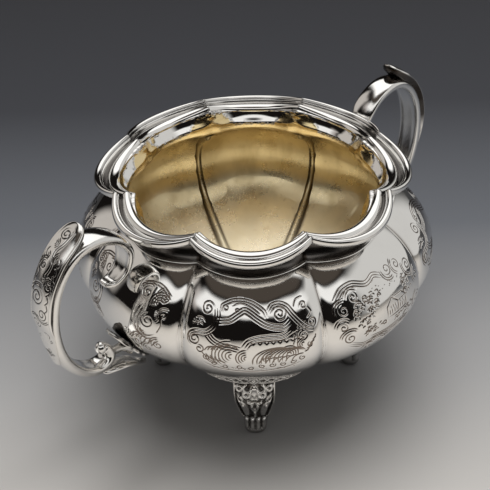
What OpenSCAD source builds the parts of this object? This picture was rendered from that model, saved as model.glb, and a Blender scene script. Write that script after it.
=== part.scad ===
/* [Bowl] */
// Radius of the belly at the middle of a lobe
body_r = 70; // [66:0.5:74]
// Radius of the belly in the furrow between two lobes
body_notch_r = 67.6; // [62:0.1:68.5]
// Height of the widest part of the belly above the table
belly_z = 62.8; // [60:0.2:65]
// Height of the underside of the bowl above the table
under_z = 29; // [26:0.5:32]
// Thickness of the raised silver shell
shell_t = 1.1; // [0.8:0.1:1.6]
// Thickness that stands for the gold wash inside
gilt_t = 0.3; // [0.2:0.1:0.5]

/* [Neck and rim] */
// Radius of the foot of the neck at the middle of a lobe
neck_r = 53.8; // [51:0.2:55]
// Height of the foot of the neck
neck_z = 85.6; // [80:0.2:88]
// Outer radius of the rim at the middle of a lobe
rim_r = 60; // [57:0.5:62]
// Outer radius of the rim in the notch between two lobes
rim_notch_r = 54.3; // [53:0.1:56]
// Inner radius of the rim at the middle of a lobe
rim_in_r = 50; // [48:0.5:52]
// Inner radius of the rim in the notch
rim_in_notch_r = 47.5; // [45:0.5:48]
// Height of the top of the rim at the middle of a lobe
rim_z = 96.5; // [94:0.1:98]
// How much the rim rises from the middle of a lobe to the notch
rim_wave = 3.4; // [0:0.2:5]

/* [Handles] */
// Width of the scroll at its widest
scroll_w = 10.4; // [8:0.2:12]
// Thickness of the scroll
scroll_t = 4.8; // [4:0.2:5.4]
// Radius of the ball that ends the scroll
ball_r = 2.3; // [2:0.1:2.8]

/* [Feet] */
// Distance of each foot from the bowl's axis, at the table
foot_r = 40; // [38:0.2:42]
// Half the width of a leg at its knee
knee_half_w = 8.2; // [7:0.2:9]
// Half the width of the toe on the table
toe_half_w = 4.4; // [3.6:0.2:5.2]

/* [Hidden] */
LOBES = 8;
HALF = 180 / LOBES;
STEPS = 8; // facets round each lobe, an even number so one edge lies in each furrow
ROWS = 14; // rings from the underside to the neck
EPS = 0.01;
silver = [0.80, 0.79, 0.77];
gold = [0.83, 0.68, 0.36];

// Furrow depth, as a share of the radius, at the belly and at the neck
belly_furrow = 1 - body_notch_r / body_r;
neck_furrow = 0.09;
// The shoulder is an arc of an ellipse about this radius, which reaches the neck's foot
shoulder_c = 31;
shoulder_top = asin(sqrt(1 - pow((neck_r - shoulder_c) / (body_r - shoulder_c), 2)));
shoulder_h = (neck_z - belly_z) / sin(shoulder_top);
neck_wave = 0.15; // share of the rim's wave that the neck's foot has
under_drop = belly_z - under_z;
pole_t = -89; // the underside closes with a small flat disc here

// The scroll's centre line in the plane of the handles, [x, z], from the ball to the volute's end
scroll_path = [[77.2, 55.4], [75.4, 54.0], [74.6, 51.2], [77.0, 49.0], [81.6, 48.8], [86.8, 51.6],
    [91.2, 56.6], [94.6, 63.4], [96.4, 71.6], [96.4, 80.8], [94.0, 90.6], [89.0, 98.4], [82.2, 102.6],
    [74.2, 102.6], [66.6, 98.8], [62.2, 92.2], [63.8, 84.8], [69.0, 81.4], [73.2, 82.2]];
// The thumb leaf's line, from its lower tip up the scroll's back to its raised end
leaf_path = [[97.6, 60.4], [99.0, 71.4], [99.2, 81.2], [96.8, 92.0], [91.4, 101.0], [85.4, 106.4],
    [79.0, 110.6]];
// The lower leaf runs from under the scroll's curl back to the foot of the plate
tendril_path = [[78.4, 44.8], [74.0, 45.2], [69.4, 44.6], [65.0, 42.4], [61.0, 39.4], [58.2, 38.2]];
plate_len = 27;
plate_half_w = 7.5;
plate_t = 1.1;
plate_z = 50.6;
bud = [62.6, 39.4, 1.9];

// A leg's sections, up from the sole: [height, distance from the axis, half width, half depth]
leg_rows = [[0, foot_r, toe_half_w - 0.6, 3.4], [1.2, foot_r, toe_half_w, 4.0],
    [3.4, foot_r + 0.2, toe_half_w + 0.2, 3.9], [5.6, foot_r + 0.4, toe_half_w + 0.3, 3.2],
    [10, foot_r + 1.6, 5.8, 3.0], [16, foot_r + 3.8, 7.2, 3.2], [22, foot_r + 6.2, knee_half_w, 3.6],
    [28, foot_r + 8.0, knee_half_w, 3.8]];
apron_t = 2.6;
apron_half_a = 18.5;
LEG_SIDES = 16;
SCROLL_SIDES = 14;

// ---- eight-foil outlines ----

// Angle from the middle of the nearest lobe
function lobe_angle(a) = let (w = (a + HALF + 360) % (2 * HALF)) w - HALF;

// Distance from the axis of an eight-foil of radius r and notch radius rn, at polar angle a
function foil(a, r, rn) = let (
    c = (r * r - rn * rn) / (2 * (r - rn * cos(HALF))),
    s = c * sin(lobe_angle(a)),
    rho = r - c)
    c * cos(lobe_angle(a)) + sqrt(rho * rho - s * s);

// How far the rim stands above its lowest point, at polar angle a
function wave(a) = rim_wave * pow(lobe_angle(a) / HALF, 2);

// The point at polar angle a of an eight-foil ring
function ring_point(a, r, rn, z, lift) =
    [foil(a, r, rn) * cos(a), foil(a, r, rn) * sin(a), z + lift * wave(a)];

// ---- the bowl's surface: t is 0 at the belly, -90 under the bowl and shoulder_top at the neck ----

function body_radius(t) = t < 0 ? body_r * cos(t) : shoulder_c + (body_r - shoulder_c) * cos(t);
function body_height(t) = t < 0 ? belly_z + under_drop * sin(t) : belly_z + shoulder_h * sin(t);
function furrow(t) = t < 0
    ? belly_furrow * pow(cos(t), 2)
    : belly_furrow + (neck_furrow - belly_furrow) * pow(t / shoulder_top, 3);
function body_lift(t) = t < 0 ? 0 : neck_wave * pow(t / shoulder_top, 3);

// Unit normal of the bowl's profile, [outwards, upwards]
function body_normal(t) = let (
    n = t < 0 ? [cos(t) / body_r, sin(t) / under_drop]
              : [cos(t) / (body_r - shoulder_c), sin(t) / shoulder_h])
    n / norm(n);

// The point of the bowl's surface at polar angle a, moved out by off
function body_point(a, t, off) = let (
    n = body_normal(t),
    r = max(body_radius(t) + off * n.x, 0.6))
    ring_point(a, r, r * (1 - furrow(t)), body_height(t) + off * n.y, body_lift(t));

function body_ring(t, off) =
    [for (k = [0:LOBES * STEPS - 1]) body_point(k * 2 * HALF / STEPS, t, off)];

function row_t(i) = pole_t + (shoulder_top - pole_t) * i / (ROWS - 1);

// ---- solids from rings of points ----

function strip(i, j, n) = [for (k = [0:n - 1]) each [
    [i * n + k, j * n + k, j * n + (k + 1) % n],
    [i * n + k, j * n + (k + 1) % n, i * n + (k + 1) % n]]];

// Joins rings of n points. Open tubes get flat ends, and a closed one joins its last ring to its first
module tube(rings, closed = false) {
    n = len(rings[0]);
    m = len(rings);
    sides = [for (i = [0:m - 2]) each strip(i, i + 1, n)];
    ends = [[for (k = [0:n - 1]) k], [for (k = [n - 1:-1:0]) (m - 1) * n + k]];
    polyhedron([for (r = rings) each r], concat(sides, closed ? strip(m - 1, 0, n) : ends), convexity = 8);
}

// A smooth line through points, with steps parts to each span
function span_point(p, i, u) = let (
    a = p[max(i - 1, 0)], b = p[i], c = p[i + 1], d = p[min(i + 2, len(p) - 1)])
    0.5 * (2 * b + (c - a) * u + (2 * a - 5 * b + 4 * c - d) * u * u
        + (3 * b - a - 3 * c + d) * u * u * u);
function smooth_line(p, steps) = concat(
    [for (i = [0:len(p) - 2], k = [0:steps - 1]) span_point(p, i, k / steps)], [p[len(p) - 1]]);

function along(p, i) = let (d = p[min(i + 1, len(p) - 1)] - p[max(i - 1, 0)]) d / norm(d);

// Rounded section round the point c of the line in the handles' plane, square to direction d
function oval_ring(c, d, half_w, half_t, sides) = [for (k = [0:sides - 1]) let (
    a = 360 * k / sides,
    v = half_t * sin(a))
    [c.x - d.y * v, half_w * cos(a), c.y + d.x * v]];

// ---- the bowl ----

module bowl_body() {
    outer = [for (i = [0:ROWS - 1]) body_ring(row_t(i), 0)];
    inner = [for (i = [ROWS - 1:-1:0]) body_ring(row_t(i), -shell_t)];
    color(silver) tube(concat(outer, inner));
}

module gilt_lining() {
    outer = [for (i = [0:ROWS - 1]) body_ring(row_t(i), -shell_t)];
    inner = [for (i = [ROWS - 1:-1:0]) body_ring(row_t(i), -shell_t - gilt_t)];
    color(gold) tube(concat(outer, inner));
}

function full_ring(r, rn, z, lift) =
    [for (k = [0:LOBES * STEPS - 1]) ring_point(k * 2 * HALF / STEPS, r, rn, z, lift)];

neck_notch = 1 - neck_furrow;
collar_in = neck_r - shell_t - 0.2;
collar_top = rim_z - 4.2;

// The neck, an upright band from the shoulder to the underside of the rim
module neck_collar() {
    color(silver) tube([
        full_ring(neck_r, neck_r * neck_notch, neck_z, neck_wave),
        full_ring(neck_r, neck_r * neck_notch, collar_top, 1),
        full_ring(collar_in, collar_in * neck_notch, collar_top, 1),
        full_ring(collar_in, collar_in * neck_notch, neck_z, neck_wave)], closed = true);
}

// The rim's section: [share of the way from outside to inside, height below the top]
bead = [0.13, 1.3];
inner_bead = [0.84, 1.6];
rim_width = rim_r - rim_in_r;
rim_section = concat(
    [for (a = [-90:45:135]) [bead.x - bead.y * cos(a) / rim_width, -bead.y + bead.y * sin(a)]],
    [[0.36, -1.4], [0.56, -2.4], [0.70, -2.2]],
    [for (a = [120:-40:-40]) [inner_bead.x + inner_bead.y * cos(a) / rim_width,
        -2.7 + inner_bead.y * sin(a)]],
    [[0.86, -4.2], [0.34, -4.2]]);

function rim_slice(a) = [for (p = rim_section) ring_point(a,
    rim_r + (rim_in_r - rim_r) * p.x,
    rim_notch_r + (rim_in_notch_r - rim_notch_r) * p.x,
    rim_z + p.y, 1)];

// One lobe of the reeded rim, cut to a mitre at each notch. The angles stop just short of the notch
module rim_segment(i) {
    mid = (i - 1) * 2 * HALF;
    reach = HALF - EPS;
    color(silver) tube([for (k = [STEPS:-1:0]) rim_slice(mid - reach + 2 * reach * k / STEPS)]);
}

// ---- handles, modelled on the +X side ----

scroll_line = smooth_line(scroll_path, 3);
scroll_last = len(scroll_line) - 1;

// Half the scroll's width, u of the way from the ball to the volute
function scroll_half_w(u) = scroll_w / 2 * (0.46 + 0.54 * sin(90 * min(1, u * 1.9)));

module handle_scroll() {
    color(silver) tube([for (i = [0:scroll_last]) let (u = i / scroll_last)
        oval_ring(scroll_line[i], along(scroll_line, i), scroll_half_w(u),
            scroll_t / 2 * (u > 0.93 ? 0.7 : 0.9), SCROLL_SIDES)]);
}

leaf_line = smooth_line(leaf_path, 3);
leaf_last = len(leaf_line) - 1;
leaf_t = 1.5;

// Half the leaf's width, u of the way from its lower tip to its rounded raised end
function leaf_half_w(u) = scroll_w / 2 * (u < 0.82
    ? sin(90 * min(1, 0.12 + 2.4 * u)) * (1 + 0.22 * u)
    : 1.18 * sqrt(1 - pow((u - 0.82) / 0.2, 2)));

module handle_leaf() {
    color(silver) tube([for (i = [0:leaf_last]) let (u = i / leaf_last)
        oval_ring(leaf_line[i], along(leaf_line, i), leaf_half_w(u),
            leaf_t / 2 * (0.4 + 0.6 * sin(180 * u)), 10)]);
}

module handle_ball() {
    color(silver) translate([scroll_path[0].x, 0, scroll_path[0].y]) sphere(r = ball_r, $fn = 48);
}

// The bowl's profile where the lower bracket meets it
plate_t0 = -asin((belly_z - plate_z) / under_drop);
plate_n = body_normal(plate_t0);
plate_dir = [-plate_n.y, plate_n.x];
plate_mid = [body_radius(plate_t0), plate_z] + plate_n * plate_t / 2;

// The leafy plate soldered to the bowl, flat enough for its tips to stand clear
module handle_plate() {
    steps = 12;
    bend = 95;
    color(silver) tube([for (i = [0:steps]) let (
        u = 2 * i / steps - 1,
        s = plate_len / 2 * u,
        d = [plate_dir.x - plate_n.x * s / bend, plate_dir.y - plate_n.y * s / bend])
        oval_ring(plate_mid + plate_dir * s - plate_n * s * s / (2 * bend), d / norm(d),
            plate_half_w * (0.12 + 0.88 * pow(cos(90 * u), 0.8)), plate_t / 2, 10)]);
}

tendril_line = smooth_line(tendril_path, 3);
tendril_last = len(tendril_line) - 1;

// The socket between the scroll's curl and the plate, with the leaf and bud below it
module handle_bracket() {
    from = [scroll_path[2].x - 0.6, scroll_path[2].y];
    dir = plate_mid - from;
    color(silver) {
        translate([from.x, 0, from.y])
            rotate([0, atan2(dir.x, dir.y), 0])
                cylinder(r1 = 2.4, r2 = 4.2, h = norm(dir) - plate_t / 2, $fn = 48);
        tube([for (i = [0:tendril_last]) let (u = i / tendril_last)
            oval_ring(tendril_line[i], along(tendril_line, i), 1.6 + 2.2 * sin(180 * u), 0.8, 10)]);
        translate([bud.x, 0, bud.y]) sphere(r = bud.z, $fn = 32);
    }
}

module handle(side, piece) {
    rotate([0, 0, side == "left" ? 180 : 0]) {
        if (piece == "scroll") handle_scroll();
        if (piece == "leaf") handle_leaf();
        if (piece == "ball") handle_ball();
        if (piece == "bracket") handle_bracket();
        if (piece == "plate") handle_plate();
    }
}

// ---- feet, modelled on the +X side and turned between the handles ----

function superoval(a, half_d, half_w) =
    [half_d * sign(cos(a)) * pow(abs(cos(a)), 0.8), half_w * sign(sin(a)) * pow(abs(sin(a)), 0.8)];

// Height of the bowl's underside at distance r from its axis, along the middle of a lobe
function underside(r) = belly_z - under_drop * sqrt(1 - pow(r / body_r, 2));

module foot_leg() {
    top = leg_rows[len(leg_rows) - 1];
    rings = [for (s = leg_rows) [for (k = [0:LEG_SIDES - 1]) let (
        p = superoval(360 * k / LEG_SIDES, s[3], s[2])) [s[1] + p.x, p.y, s[0]]]];
    cap = [for (k = [0:LEG_SIDES - 1]) let (
        p = superoval(360 * k / LEG_SIDES, top[3] - 0.4, top[2] + 0.6),
        x = top[1] + p.x)
        [x, p.y, underside(norm([x, p.y])) - apron_t + 0.1]];
    color(silver) tube(concat(rings, [cap]));
}

// Where the apron starts and ends along the profile, u from -1 to 1 across the lobe
apron_t0 = -48;
function apron_reach(u) = 1.5 + 11.5 * pow(cos(90 * u), 0.7);

module foot_apron() {
    steps = 14;
    color(silver) tube([for (i = [0:steps]) let (
        u = 2 * i / steps - 1,
        a = apron_half_a * u,
        lo = apron_t0 - 3 * (1 - u * u) - apron_reach(u),
        hi = apron_t0 + 3 * u * u + apron_reach(u))
        concat([for (k = [0:3]) body_point(a, lo + (hi - lo) * k / 3, 0)],
            [for (k = [3:-1:0]) body_point(a, lo + (hi - lo) * k / 3, apron_t)])]);
}

module foot(i, piece) {
    rotate([0, 0, 45 + 90 * (i - 1)]) {
        if (piece == "leg") foot_leg();
        if (piece == "apron") foot_apron();
    }
}

// ---- what is drawn ----

bowl_body();
gilt_lining();
neck_collar();
for (i = [1:LOBES]) rim_segment(i);
for (h = ["left", "right"], p = ["scroll", "leaf", "ball", "bracket", "plate"])
    handle(h, p);
for (i = [1:4], p = ["leg", "apron"])
    foot(i, p);
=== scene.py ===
import math

import bpy
import numpy as np
from mathutils import Matrix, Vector
from numpy import concatenate as join, linspace, stack


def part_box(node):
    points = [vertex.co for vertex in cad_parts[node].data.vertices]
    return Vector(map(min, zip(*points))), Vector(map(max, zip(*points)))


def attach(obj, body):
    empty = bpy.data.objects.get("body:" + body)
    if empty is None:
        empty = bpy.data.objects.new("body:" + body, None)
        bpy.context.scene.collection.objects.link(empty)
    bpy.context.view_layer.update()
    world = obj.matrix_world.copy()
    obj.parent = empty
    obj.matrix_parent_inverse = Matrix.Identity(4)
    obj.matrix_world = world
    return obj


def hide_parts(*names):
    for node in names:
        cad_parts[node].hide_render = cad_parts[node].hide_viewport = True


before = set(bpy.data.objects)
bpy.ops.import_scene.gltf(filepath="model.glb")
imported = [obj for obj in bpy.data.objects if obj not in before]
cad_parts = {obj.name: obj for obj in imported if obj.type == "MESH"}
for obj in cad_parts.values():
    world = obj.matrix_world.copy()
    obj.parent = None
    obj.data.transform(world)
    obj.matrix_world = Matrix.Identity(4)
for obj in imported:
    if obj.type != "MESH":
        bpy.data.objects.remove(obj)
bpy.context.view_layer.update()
scene = bpy.context.scene

# The looks of the eight-lobed silver sugar bowl. Shapes are worked out in millimetres and degrees, from
# the same formulas as the CAD part, and piece() turns them into metres. +X is the right handle.
MM = 0.001
LOBES = 8
HALF = 180 / LOBES


def box_mm(node):
    low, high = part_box(node)
    return np.array(low) / MM, np.array(high) / MM


# ---- sizes, read from the CAD frame where it has them ----

BODY_LOW, BODY_HIGH = box_mm("bowl_body")
_, RIM_HIGH = box_mm("rim_segment_1")
COLLAR_LOW, COLLAR_HIGH = box_mm("neck_collar")
BALL_LOW, BALL_HIGH = box_mm("handle_right_ball")

BODY_R = BODY_HIGH[0]
UNDER_Z = BODY_LOW[2]
RIM_R = RIM_HIGH[0]
RIM_NOTCH_R = 54.3
RIM_IN_R, RIM_IN_NOTCH_R = 50.0, 47.5
RIM_WAVE = 3.4  # how much higher the rim stands at a notch than at mid lobe
RIM_Z = RIM_HIGH[2] - RIM_WAVE
NECK_R = COLLAR_HIGH[0]
NECK_Z = COLLAR_LOW[2]
BELLY_Z = 62.8
SHELL_T = 1.1
GILT_T = 0.3
BELLY_FURROW = 1 - 67.6 / 70  # how deep a furrow is, as a share of the radius
NECK_FURROW = 0.09
SHOULDER_C = 31.0  # radius at which the shoulder's quarter oval is centred
SHOULDER_TOP = math.degrees(math.acos((NECK_R - SHOULDER_C) / (BODY_R - SHOULDER_C)))
SHOULDER_H = (NECK_Z - BELLY_Z) / math.sin(math.radians(SHOULDER_TOP))
NECK_WAVE = 0.15
UNDER_DROP = BELLY_Z - UNDER_Z
COLLAR_TOP = RIM_Z - 4.2
UNDER_T = -89.9  # where the profile ends underneath, just short of the axis


def cos(a):
    return np.cos(np.radians(a))


def sin(a):
    return np.sin(np.radians(a))


def climb(x, start, run):
    """0 up to start, then rising to 1 over run."""
    return np.clip((x - start) / run, 0, 1)


def bell(x, width, power=2):
    """1 at x = 0 and 1/e at width; a higher power makes it squarer."""
    return np.exp(-(x / width) ** power)


def turns(n):
    """n angles round a full turn, in degrees."""
    return np.arange(n) * 360 / n


# ---- the eight-lobed surfaces ----

def lobe_angle(a):
    """Degrees from the middle of the nearest lobe."""
    return (a + HALF) % (2 * HALF) - HALF


def foil(a, r, rn, soft=0.7):
    """Radius of the eight-foil outline at angle a, its notches rounded over about soft degrees."""
    gap = np.hypot(HALF - abs(lobe_angle(a)), soft)
    c = (r * r - rn * rn) / (2 * (r - rn * cos(HALF)))
    s = c * sin(HALF - gap)
    return c * cos(HALF - gap) + np.sqrt((r - c) ** 2 - s * s)


def wave(a):
    return RIM_WAVE * (lobe_angle(a) / HALF) ** 2


def body_profile(t):
    """Radius, height and outward normal of the bowl at parameter t: 0 at the belly, -90 underneath."""
    low = t < 0
    run = np.where(low, BODY_R, BODY_R - SHOULDER_C)
    rise = np.where(low, UNDER_DROP, SHOULDER_H)
    r = np.where(low, 0, SHOULDER_C) + run * cos(t)
    z = BELLY_Z + rise * sin(t)
    nr, nz = cos(t) / run, sin(t) / rise
    n = np.hypot(nr, nz)
    return r, z, nr / n, nz / n


def furrow(t):
    up = climb(t, 0, SHOULDER_TOP)
    return np.where(t < 0, BELLY_FURROW * cos(t) ** 2,
        BELLY_FURROW + (NECK_FURROW - BELLY_FURROW) * up ** 3)


def body_point(a, t, off=0.0, share=1.0, soft=0.7, roll=0.0):
    """Point of the bowl's surface at angle a, moved out by off, with share of the furrows' depth and
    each lobe rolled over by roll mm at its edges."""
    a, t = np.broadcast_arrays(np.asarray(a, float), np.asarray(t, float))
    r, z, nr, nz = body_profile(t)
    r = np.maximum(r + off * nr, 0.05)
    gap = np.hypot(HALF - abs(lobe_angle(a)), soft) - soft
    reach = foil(a, r, r * (1 - furrow(t) * share), soft)
    reach -= roll * np.exp(-gap / 1.9) * cos(t * 0.9) ** 2 * climb(r, 0, 30)
    lift = NECK_WAVE * climb(t, 0, SHOULDER_TOP) ** 3 * wave(a)
    return stack([reach * cos(a), reach * sin(a), z + off * nz + lift], -1)


T_TABLE = linspace(-90, SHOULDER_TOP, 2881)
_r, _z, _, _ = body_profile(T_TABLE)
ARC_TABLE = join([[0], np.cumsum(np.hypot(np.diff(_r), np.diff(_z)))])
ARC_TABLE -= np.interp(0, T_TABLE, ARC_TABLE)


def arc_of(t):
    """Millimetres along the profile from the belly, upwards."""
    return np.interp(t, T_TABLE, ARC_TABLE)


def t_of(arc):
    return np.interp(arc, ARC_TABLE, T_TABLE)


# ---- meshes from grids of points ----

def quads(rows, cols, wrap_rows=False, wrap_cols=False):
    i, j = np.meshgrid(np.arange(rows - (not wrap_rows)), np.arange(cols - (not wrap_cols)),
        indexing="ij")
    i2, j2 = (i + 1) % rows, (j + 1) % cols
    return stack([i * cols + j, i * cols + j2, i2 * cols + j2, i2 * cols + j], -1).reshape(-1, 4)


# The second mark holds real tarnish and also painted shade, which the materials mix towards a dark colour
MARKS = ("groove", "tarnish", "gilt")


class Part:
    """One closed surface: its points, its faces and, at each point, how much of each mark it carries."""

    def __init__(self, verts, faces, **marks):
        self.verts = np.asarray(verts, float).reshape(-1, 3)
        none = np.zeros(len(self.verts))
        self.marks = {mark: np.array(marks.get(mark, none), float).ravel() for mark in MARKS}
        self.faces = faces
        if self.volume() < 0:
            self.faces = [(f[:, ::-1], smooth) for f, smooth in faces]

    def volume(self):
        total = 0.0
        for f, _ in self.faces:
            p = self.verts[f]
            for k in range(1, f.shape[1] - 1):
                total += np.einsum("ij,ij->", p[:, 0], np.cross(p[:, k], p[:, k + 1]))
        return total

    def turned(self, degrees):
        c, s = math.cos(math.radians(degrees)), math.sin(math.radians(degrees))
        part = Part.__new__(Part)
        part.verts = self.verts @ np.array([[c, s, 0], [-s, c, 0], [0, 0, 1]])
        part.faces, part.marks = self.faces, self.marks
        return part


def tube_part(grid, **marks):
    """Rings of points (rows) closed round their columns, with flat ends."""
    rows, cols = grid.shape[:2]
    ends = np.array([np.arange(cols)[::-1], (rows - 1) * cols + np.arange(cols)])
    return Part(grid, [(quads(rows, cols, wrap_cols=True), True), (ends, False)], **marks)


def ring_part(grid, **marks):
    """A solid ring: rows run round the section and columns round the axis, both closed."""
    rows, cols = grid.shape[:2]
    return Part(grid, [(quads(rows, cols, True, True), True)], **marks)


def slab_part(grid, **marks):
    """Rows closed on themselves, with flat ends at the first and last columns."""
    rows, cols = grid.shape[:2]
    side = np.arange(rows) * cols
    ends = np.array([side, (side + cols - 1)[::-1]])
    return Part(grid, [(quads(rows, cols, wrap_rows=True), True), (ends, False)], **marks)


def unit(v):
    return v / np.maximum(np.linalg.norm(v, axis=-1, keepdims=True), 1e-12)


def grid_normals(grid):
    return unit(np.cross(np.gradient(grid, axis=1), np.gradient(grid, axis=0)))


def add_object(name, data):
    obj = bpy.data.objects.new(name, data)
    scene.collection.objects.link(obj)
    return obj


def piece(name, parts, material, nodes):
    """Makes one Blender object from closed parts, riding on the only body and standing for CAD nodes."""
    sizes, loops, smooth, base = [], [], [], 0
    for part in parts:
        for faces, is_smooth in part.faces:
            loops.append((faces + base).ravel())
            sizes.append(np.full(len(faces), faces.shape[1]))
            smooth.append(np.full(len(faces), is_smooth))
        base += len(part.verts)
    sizes = join(sizes)
    mesh = bpy.data.meshes.new(name)
    mesh.vertices.add(base)
    mesh.vertices.foreach_set("co", (join([p.verts for p in parts]) * MM).ravel())
    mesh.loops.add(int(sizes.sum()))
    mesh.loops.foreach_set("vertex_index", join(loops).astype(np.int32))
    mesh.polygons.add(len(sizes))
    mesh.polygons.foreach_set("loop_start", (np.cumsum(sizes) - sizes).astype(np.int32))
    mesh.polygons.foreach_set("use_smooth", join(smooth))
    mesh.update(calc_edges=True)
    for mark in MARKS:
        values = join([p.marks[mark] for p in parts])
        mesh.attributes.new(mark, "FLOAT", "POINT").data.foreach_set("value", values)
    mesh.materials.append(material)
    obj = add_object(name, mesh)
    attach(obj, "root")
    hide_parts(*nodes)


def smooth_line(points, steps):
    """The CAD's smooth line through points, with steps parts to each span."""
    p = np.asarray(points, float)
    p = np.vstack([p[:1], p, p[-1:]])
    u = (np.arange(steps) / steps)[None, :, None]
    a, b, c, d = (p[k:len(p) - 3 + k, None] for k in range(4))
    line = 0.5 * (2 * b + (c - a) * u + (2 * a - 5 * b + 4 * c - d) * u * u
        + (3 * b - a - 3 * c + d) * u ** 3)
    return np.vstack([line.reshape(-1, p.shape[1]), p[-1:]])


def sweep(line, out, half_w, half_t, section):
    """Grid of a section [(across, out)] carried along a line; out is the thickness direction."""
    side = unit(np.cross(unit(np.gradient(line, axis=0)), out))
    section = np.asarray(section, float)
    section = np.broadcast_to(section, (len(line),) + section.shape[-2:])
    half_w = np.broadcast_to(half_w, len(line))[:, None, None]
    half_t = np.broadcast_to(half_t, len(line))[:, None, None]
    return (line[:, None] + side[:, None] * half_w * section[..., :1]
        + out[:, None] * half_t * section[..., 1:])


def round_ends(n, count):
    """Factors that close a swept tube of n rings to a rounded end over count rings at both ends."""
    u = np.minimum(np.arange(n), np.arange(n)[::-1]) / count
    return np.sqrt(np.clip(1 - (1 - np.clip(u, 0.02, 1)) ** 2, 0, 1))


def ball(centre, r, petals=0, sides=40):
    """A ball, or a bud with shallow furrows between its petals."""
    t, a = np.meshgrid(linspace(-89.5, 89.5, sides // 2), turns(sides), indexing="ij")
    rr = r * (1 + 0.07 * (abs(cos(a * petals / 2)) - 0.6) * cos(t) if petals else 1)
    return tube_part(stack([centre[0] + rr * cos(t) * cos(a), centre[1] + rr * cos(t) * sin(a),
        centre[2] + rr * sin(t)], -1))


def lathe(start, axis, profile):
    """Turned solid: profile is [(distance along the axis, radius)]."""
    axis = unit(np.asarray(axis, float))
    across = unit(np.cross(axis, [0, 1, 0]))
    other = np.cross(axis, across)
    line = smooth_line(profile, 5)
    a = turns(56)
    ring = across * cos(a)[:, None] + other * sin(a)[:, None]
    return tube_part(np.asarray(start) + axis * line[:, None, :1] + ring[None] * line[:, None, 1:])


# ---- engraving: strokes on a flat chart in millimetres ----

def arc(cx, cy, r, a0, a1):
    a = linspace(a0, a1, max(6, int(abs(a1 - a0) / 12)))
    return stack([cx + r * cos(a), cy + r * sin(a)], -1)


def spiral(cx, cy, r0, r1, a0, turn):
    """From radius r0 at angle a0 in to radius r1, turning by turn degrees."""
    u = linspace(0, 1, max(10, int(abs(turn) / 14)))
    a, r = a0 + turn * u, r0 + (r1 - r0) * u
    return stack([cx + r * cos(a), cy + r * sin(a)], -1)


def curve(*points):
    return smooth_line(points, 7)


def flower(cx, cy, r0, r1, rays):
    """Rays round most of a turn, the middle ones the longest."""
    lines = []
    for k in range(rays):
        share = k / (rays - 1)
        r = r0 + (r1 - r0) * linspace(0, 1, 9) * (0.82 + 0.18 * math.sin(math.pi * share))
        lines.append(stack([cx + r * cos(330 * share), cy + r * sin(330 * share)], -1))
    return lines


def nest(cx, cy, r0, step, count, a0, a1, dx=0.0):
    """Crescents nested like a shell, each a step larger and moved on by dx."""
    return [arc(cx + dx * k, cy, r0 + step * k, a0 + 3 * k, a1 - 5 * k) for k in range(count)]


def curls(rows, end=0.3):
    """Spirals in to radius end, each given by its x, y, radius, start angle and turn."""
    return [spiral(x, y, r, end, a, turn) for x, y, r, a, turn in rows]


def shelled_curls(rows, gap, step, back, on):
    """Spirals with two crescents gap outside each, from back degrees before its start to on degrees after."""
    crescents = (nest(x, y, r + gap, step, 2, a - back, a + on) for x, y, r, a, _ in rows)
    return sum(crescents, curls(rows))


def dots(x0, x1, y0, y1, count, seed):
    rng = np.random.default_rng(seed)
    p = stack([rng.uniform(x0, x1, count), rng.uniform(y0, y1, count)], -1)
    return [np.array([q, q + [0.12, 0.02]]) for q in p]


def mirrored(strokes):
    return [s * [-1, 1] for s in strokes]


def engrave(x, y, strokes, half_w):
    """How deep each chart point lies in the strokes, from 0 to 1."""
    deep = np.zeros(x.shape)
    for s in strokes:
        (x0, y0), (x1, y1) = s.min(0) - 2 * half_w, s.max(0) + 2 * half_w
        near = (x > x0) & (x < x1) & (y > y0) & (y < y1)
        if not near.any():
            continue
        p = stack([x[near], y[near]], -1)
        best = np.full(len(p), 1e9)
        fade = np.ones(len(p))
        n = len(s) - 1
        for k in range(n):
            a, d = s[k], s[k + 1] - s[k]
            u = np.clip(((p - a) @ d) / max(d @ d, 1e-9), 0, 1)
            dist = np.hypot(*(p - a - u[:, None] * d).T)
            closer = dist < best
            best[closer] = dist[closer]
            share = (k + u[closer]) / n
            fade[closer] = np.clip(0.25 + 5 * np.minimum(share, 1 - share), 0, 1) if n > 1 else 0.8
        deep[near] = np.maximum(deep[near], fade * np.clip(1 - (best / half_w) ** 2, 0, 1) ** 1.5)
    return deep


def ribbon(line, *offsets):
    """A line and its copies, each the given distance to its left."""
    d = unit(np.gradient(line, axis=0))
    left = stack([-d[:, 1], d[:, 0]], -1)
    return [line] + [line + off * left for off in offsets]


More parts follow.
